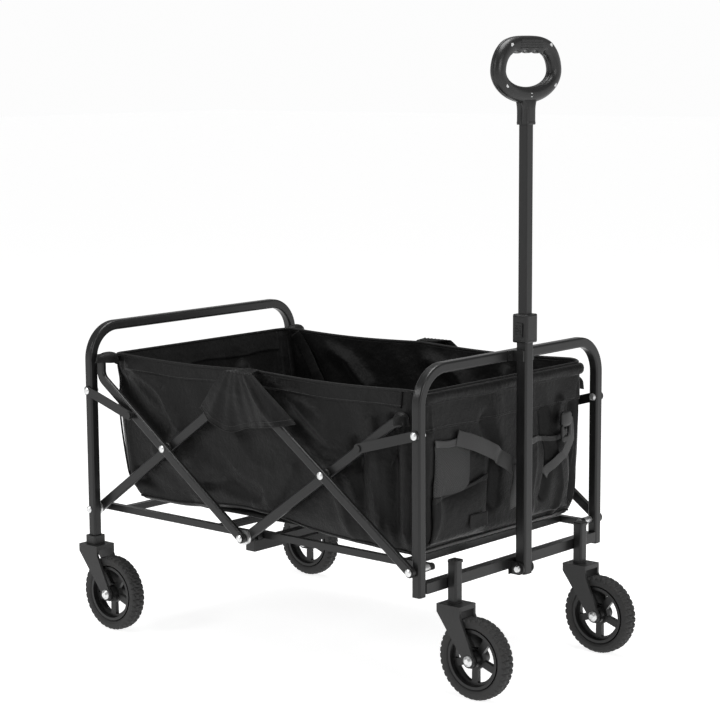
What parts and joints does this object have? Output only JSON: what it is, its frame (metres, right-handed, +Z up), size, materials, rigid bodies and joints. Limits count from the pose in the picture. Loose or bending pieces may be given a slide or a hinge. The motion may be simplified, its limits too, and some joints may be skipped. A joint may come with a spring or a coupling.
{
  "type": "folding utility wagon",
  "caption": "Folding utility wagon: tube end frames, scissor side bars, open cloth tub, swivel front casters, fixed rear wheels and a telescopic pull pole with a loop grip.",
  "frame": {"origin": "on the floor under the middle of the object's bounding box, midway between the rear and front wheel centres", "axes": "+X forwards towards the pull pole, +Y to the wagon's left, +Z up"},
  "size_m": [0.93, 0.6022, 1.097],
  "materials": {
    "frame_paint": "satin black powder coat",
    "black_plastic": "fine moulded texture",
    "fork_plastic": "satin moulded",
    "wheel_plastic": "satin moulded",
    "tyre": "matte",
    "zinc": "bright zinc plate",
    "cloth": "woven polyester with a slight sheen"
  },
  "bodies": {
    "rear_frame": {"rear_u_frame": "frame_paint", "rear_frame_rivets": "zinc", "rear_fork_left": "fork_plastic", "rear_fork_right": "fork_plastic", "rear_axle_left": "zinc", "rear_axle_right": "zinc"},
    "front_frame": {"front_u_frame": "frame_paint", "front_cross_tube": "frame_paint", "front_frame_rivets": "zinc", "caster_caps": "black_plastic", "pole_bracket": "black_plastic", "pole_bolt": "zinc", "pole_clip": "black_plastic", "caster_stem_left": "frame_paint", "caster_stem_right": "frame_paint"},
    "bars_a": {"bar_a_left": "frame_paint", "bar_a_right": "frame_paint", "bar_a_rivets": "zinc"},
    "bars_b": {"bar_b_left": "frame_paint", "bar_b_right": "frame_paint"},
    "bars_c": {"bar_c_left": "frame_paint", "bar_c_right": "frame_paint", "bar_c_rivets": "zinc"},
    "bars_d": {"bar_d_left": "frame_paint", "bar_d_right": "frame_paint"},
    "rear_links": {"rear_link_left": "frame_paint", "rear_link_right": "frame_paint"},
    "front_links": {"front_link_left": "frame_paint", "front_link_right": "frame_paint"},
    "top_hub": {"top_hub_left": "zinc", "top_hub_right": "zinc", "basket_front": "cloth", "basket_rear": "cloth", "basket_side_left": "cloth", "basket_side_right": "cloth", "basket_floor": "cloth", "hub_flaps": "cloth"},
    "bottom_hub": {"bottom_cross_tube": "frame_paint", "bottom_pins": "zinc"},
    "floor_rear": {"floor_rear_frame": "frame_paint"},
    "floor_front": {"floor_front_frame": "frame_paint"},
    "pole_lower": {"pole_lower_tube": "frame_paint", "pole_collar": "black_plastic"},
    "pole_upper": {"pole_upper_tube": "frame_paint", "grip_front": "black_plastic", "grip_rear": "black_plastic", "grip_screws": "zinc"},
    "button": {"pole_button": "black_plastic"},
    "rear_wheel_left": {"rear_rim_left": "wheel_plastic", "rear_tyre_left": "tyre"},
    "caster_left": {"caster_fork_left": "fork_plastic", "caster_axle_left": "zinc"},
    "front_wheel_left": {"front_rim_left": "wheel_plastic", "front_tyre_left": "tyre"},
    "rear_wheel_right": {"rear_rim_right": "wheel_plastic", "rear_tyre_right": "tyre"},
    "caster_right": {"caster_fork_right": "fork_plastic", "caster_axle_right": "zinc"},
    "front_wheel_right": {"front_rim_right": "wheel_plastic", "front_tyre_right": "tyre"}
  },
  "joints": [
    {"name": "fold", "type": "hinge", "parent": "rear_frame", "child": "bars_b", "pos_m": [-0.449, 0, 0.223], "axis": [0, -1, 0], "range_deg": [0, 43.5], "deforming": ["basket_front", "basket_rear", "basket_side_left", "basket_side_right", "basket_floor", "hub_flaps"]},
    {"name": "fold_a", "type": "hinge", "parent": "bars_b", "child": "bars_a", "pos_m": [-0.2555, 0, 0.361], "axis": [0, -1, 0], "range_deg": [-88, 1]},
    {"name": "fold_top_hub", "type": "hinge", "parent": "bars_b", "child": "top_hub", "pos_m": [-0.062, 0, 0.499], "axis": [0, -1, 0], "range_deg": [-44.5, 1]},
    {"name": "fold_c", "type": "hinge", "parent": "top_hub", "child": "bars_c", "pos_m": [-0.062, 0, 0.499], "axis": [0, -1, 0], "range_deg": [-44.5, 1]},
    {"name": "fold_bottom_hub", "type": "hinge", "parent": "bars_a", "child": "bottom_hub", "pos_m": [-0.062, 0, 0.223], "axis": [0, -1, 0], "range_deg": [-1, 44.5]},
    {"name": "fold_d", "type": "hinge", "parent": "bottom_hub", "child": "bars_d", "pos_m": [-0.062, 0, 0.223], "axis": [0, -1, 0], "range_deg": [-1, 44.5]},
    {"name": "fold_front_frame", "type": "hinge", "parent": "bars_c", "child": "front_frame", "pos_m": [0.325, 0, 0.223], "axis": [0, -1, 0], "range_deg": [-1, 44.5]},
    {"name": "rear_link_fold", "type": "hinge", "parent": "rear_frame", "child": "rear_links", "pos_m": [-0.444, 0, 0.4505], "axis": [0, -1, 0], "range_deg": [-1, 95.44]},
    {"name": "front_link_fold", "type": "hinge", "parent": "front_frame", "child": "front_links", "pos_m": [0.33, 0, 0.4505], "axis": [0, 1, 0], "range_deg": [-1, 88.68]},
    {"name": "floor_rear_fold", "type": "hinge", "parent": "rear_frame", "child": "floor_rear", "pos_m": [-0.449, 0, 0.223], "axis": [0, -1, 0], "range_deg": [-1, 78.43]},
    {"name": "floor_front_fold", "type": "hinge", "parent": "front_frame", "child": "floor_front", "pos_m": [0.325, 0, 0.223], "axis": [0, 1, 0], "range_deg": [-1, 78.43]},
    {"name": "pole_tilt", "type": "hinge", "parent": "front_frame", "child": "pole_lower", "pos_m": [0.357, 0, 0.185], "axis": [0, 1, 0], "range_deg": [0, 90]},
    {"name": "pole_slide", "type": "slide", "parent": "pole_lower", "child": "pole_upper", "axis": [0, 0, 1], "range_m": [-0.318, 0]},
    {"name": "lock_button", "type": "slide", "parent": "pole_lower", "child": "button", "axis": [0, 1, 0], "range_m": [0, 0.0023], "stiffness_N_per_m": 400},
    {"name": "caster_swivel_left", "type": "hinge", "parent": "front_frame", "child": "caster_left", "pos_m": [0.3485, 0.1817, 0.158], "axis": [0, 0, 1], "continuous": true},
    {"name": "front_wheel_spin_left", "type": "hinge", "parent": "caster_left", "child": "front_wheel_left", "pos_m": [0.394, 0.1817, 0.07], "axis": [0, 1, 0], "continuous": true},
    {"name": "rear_wheel_spin_left", "type": "hinge", "parent": "rear_frame", "child": "rear_wheel_left", "pos_m": [-0.394, 0.273, 0.07], "axis": [0, 1, 0], "continuous": true},
    {"name": "caster_swivel_right", "type": "hinge", "parent": "front_frame", "child": "caster_right", "pos_m": [0.3485, -0.1817, 0.158], "axis": [0, 0, 1], "continuous": true},
    {"name": "front_wheel_spin_right", "type": "hinge", "parent": "caster_right", "child": "front_wheel_right", "pos_m": [0.394, -0.1817, 0.07], "axis": [0, 1, 0], "continuous": true},
    {"name": "rear_wheel_spin_right", "type": "hinge", "parent": "rear_frame", "child": "rear_wheel_right", "pos_m": [-0.394, -0.273, 0.07], "axis": [0, 1, 0], "continuous": true}
  ],
  "couplings": [
    {"joint": "fold_a", "follows": "fold", "ratio": -2},
    {"joint": "fold_top_hub", "follows": "fold", "ratio": -1},
    {"joint": "fold_c", "follows": "fold", "ratio": -1},
    {"joint": "fold_bottom_hub", "follows": "fold", "ratio": 1},
    {"joint": "fold_d", "follows": "fold", "ratio": 1},
    {"joint": "fold_front_frame", "follows": "fold", "ratio": 1},
    {"joint": "rear_link_fold", "follows": "fold", "ratio": 2.171},
    {"joint": "front_link_fold", "follows": "fold", "ratio": 2.0156},
    {"joint": "floor_rear_fold", "follows": "fold", "ratio": 1.78},
    {"joint": "floor_front_fold", "follows": "fold", "ratio": 1.78}
  ]
}
